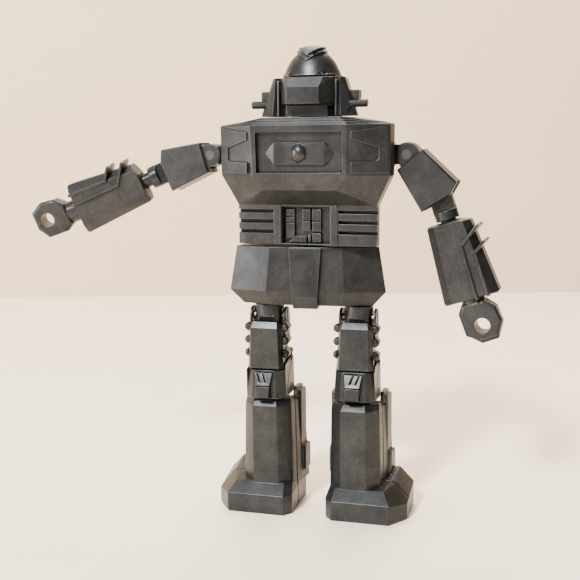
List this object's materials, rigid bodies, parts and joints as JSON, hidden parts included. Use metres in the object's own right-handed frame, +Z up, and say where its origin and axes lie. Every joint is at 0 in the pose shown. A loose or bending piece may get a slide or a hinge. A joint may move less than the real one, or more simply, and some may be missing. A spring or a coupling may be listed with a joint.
{
  "type": "toy robot",
  "caption": "Jointed toy robot in dark silvery plastic: domed head, window on a wide chest, flared skirt, block arms with gripping fists and tall heavy boots.",
  "frame": {"origin": "on the floor, under the middle of the robot's box as it stands", "axes": "+Z up, the robot faces -Y, its own left side is +X"},
  "size_m": [0.1038, 0.02, 0.0984],
  "materials": {
    "body_plastic": "moulded plastic with a silvery metallic pigment, satin, slightly blotchy",
    "peg_plastic": "the same plastic a little darker, worn smooth by turning",
    "pin_steel": "plain drawn steel"
  },
  "bodies": {
    "torso": {"torso_front": "body_plastic", "torso_rear": "body_plastic", "torso_screw_upper": "pin_steel", "torso_screw_lower": "pin_steel"},
    "head": {"head_front": "body_plastic", "head_rear": "body_plastic", "visor": "body_plastic", "left_ear": "body_plastic", "right_ear": "body_plastic", "neck_peg": "peg_plastic"},
    "pelvis": {"pelvis_front": "body_plastic", "pelvis_rear": "body_plastic", "pelvis_screw": "pin_steel", "waist_peg": "peg_plastic"},
    "left_shoulder": {"left_shoulder_peg": "peg_plastic"},
    "left_upper_arm": {"left_upper_arm_front": "body_plastic", "left_upper_arm_rear": "body_plastic", "left_shoulder_pin": "pin_steel", "left_elbow_pin": "pin_steel"},
    "left_elbow": {"left_elbow_link": "peg_plastic"},
    "left_forearm": {"left_forearm_front": "body_plastic", "left_forearm_rear": "body_plastic"},
    "left_hand": {"left_fist": "body_plastic"},
    "left_hip": {"left_hip_peg": "peg_plastic"},
    "left_thigh": {"left_thigh_front": "body_plastic", "left_thigh_rear": "body_plastic", "left_hip_pin": "pin_steel", "left_knee_guard": "body_plastic"},
    "left_boot": {"left_boot_front": "body_plastic", "left_boot_rear": "body_plastic", "left_knee_pin": "pin_steel"},
    "right_shoulder": {"right_shoulder_peg": "peg_plastic"},
    "right_upper_arm": {"right_upper_arm_front": "body_plastic", "right_upper_arm_rear": "body_plastic", "right_shoulder_pin": "pin_steel", "right_elbow_pin": "pin_steel"},
    "right_elbow": {"right_elbow_link": "peg_plastic"},
    "right_forearm": {"right_forearm_front": "body_plastic", "right_forearm_rear": "body_plastic"},
    "right_hand": {"right_fist": "body_plastic"},
    "right_hip": {"right_hip_peg": "peg_plastic"},
    "right_thigh": {"right_thigh_front": "body_plastic", "right_thigh_rear": "body_plastic", "right_hip_pin": "pin_steel", "right_knee_guard": "body_plastic"},
    "right_boot": {"right_boot_front": "body_plastic", "right_boot_rear": "body_plastic", "right_knee_pin": "pin_steel"}
  },
  "joints": [
    {"name": "neck_turn", "type": "hinge", "parent": "torso", "child": "head", "pos_m": [0.01222, 0.00081, 0.0839], "axis": [0, 0, 1], "continuous": true},
    {"name": "waist_turn", "type": "hinge", "parent": "torso", "child": "pelvis", "pos_m": [0.01222, 0.00081, 0.0581], "axis": [0, 0, 1], "continuous": true},
    {"name": "left_shoulder_swing", "type": "hinge", "parent": "torso", "child": "left_shoulder", "pos_m": [0.03232, 0.00081, 0.0764], "axis": [-1, 0, 0], "continuous": true},
    {"name": "left_shoulder_lift", "type": "hinge", "parent": "left_shoulder", "child": "left_upper_arm", "pos_m": [0.03232, 0.00081, 0.0764], "axis": [0, -1, 0], "range_deg": [-4, 96]},
    {"name": "left_elbow_bend", "type": "hinge", "parent": "left_upper_arm", "child": "left_elbow", "pos_m": [0.0388, 0.00081, 0.0684], "axis": [0, -1, 0], "range_deg": [-12.5, 53.5]},
    {"name": "left_forearm_turn", "type": "hinge", "parent": "left_elbow", "child": "left_forearm", "pos_m": [0.0388, 0.00081, 0.0684], "axis": [-0.3173, 0, 0.9483], "continuous": true},
    {"name": "left_wrist_turn", "type": "hinge", "parent": "left_forearm", "child": "left_hand", "pos_m": [0.04572, 0.00081, 0.04772], "axis": [-0.3173, 0, 0.9483], "continuous": true},
    {"name": "left_hip_turn", "type": "hinge", "parent": "pelvis", "child": "left_hip", "pos_m": [0.02173, 0.00215, 0.0424], "axis": [0, 0, 1], "range_deg": [-90, 90]},
    {"name": "left_hip_swing", "type": "hinge", "parent": "left_hip", "child": "left_thigh", "pos_m": [0.02173, 0.00215, 0.0424], "axis": [-0.9976, -0.0698, 0], "range_deg": [-39, 41]},
    {"name": "left_knee_bend", "type": "hinge", "parent": "left_thigh", "child": "left_boot", "pos_m": [0.02178, 0.00147, 0.0226], "axis": [0.9976, 0.0698, 0], "range_deg": [-4, 24]},
    {"name": "right_shoulder_swing", "type": "hinge", "parent": "torso", "child": "right_shoulder", "pos_m": [-0.01018, 0.00081, 0.0764], "axis": [-1, 0, 0], "continuous": true},
    {"name": "right_shoulder_lift", "type": "hinge", "parent": "right_shoulder", "child": "right_upper_arm", "pos_m": [-0.01018, 0.00081, 0.0764], "axis": [0, 1, 0], "range_deg": [-38, 62]},
    {"name": "right_elbow_bend", "type": "hinge", "parent": "right_upper_arm", "child": "right_elbow", "pos_m": [-0.02003, 0.00081, 0.07339], "axis": [0, 1, 0], "range_deg": [-27.5, 38.5]},
    {"name": "right_forearm_turn", "type": "hinge", "parent": "right_elbow", "child": "right_forearm", "pos_m": [-0.0212, 0.00052, 0.0729], "axis": [-0.9002, -0.225, -0.3729], "continuous": true},
    {"name": "right_wrist_turn", "type": "hinge", "parent": "right_forearm", "child": "right_hand", "pos_m": [-0.04217, -0.00472, 0.06422], "axis": [-0.9002, -0.225, -0.3729], "continuous": true},
    {"name": "right_hip_turn", "type": "hinge", "parent": "pelvis", "child": "right_hip", "pos_m": [0.00272, -0.00052, 0.0424], "axis": [0, 0, -1], "range_deg": [-90, 90]},
    {"name": "right_hip_swing", "type": "hinge", "parent": "right_hip", "child": "right_thigh", "pos_m": [0.00272, -0.00052, 0.0424], "axis": [-0.9976, -0.0698, 0], "range_deg": [-35, 45]},
    {"name": "right_knee_bend", "type": "hinge", "parent": "right_thigh", "child": "right_boot", "pos_m": [0.00267, 0.00017, 0.0226], "axis": [0.9976, 0.0698, 0], "range_deg": [0, 28]}
  ]
}
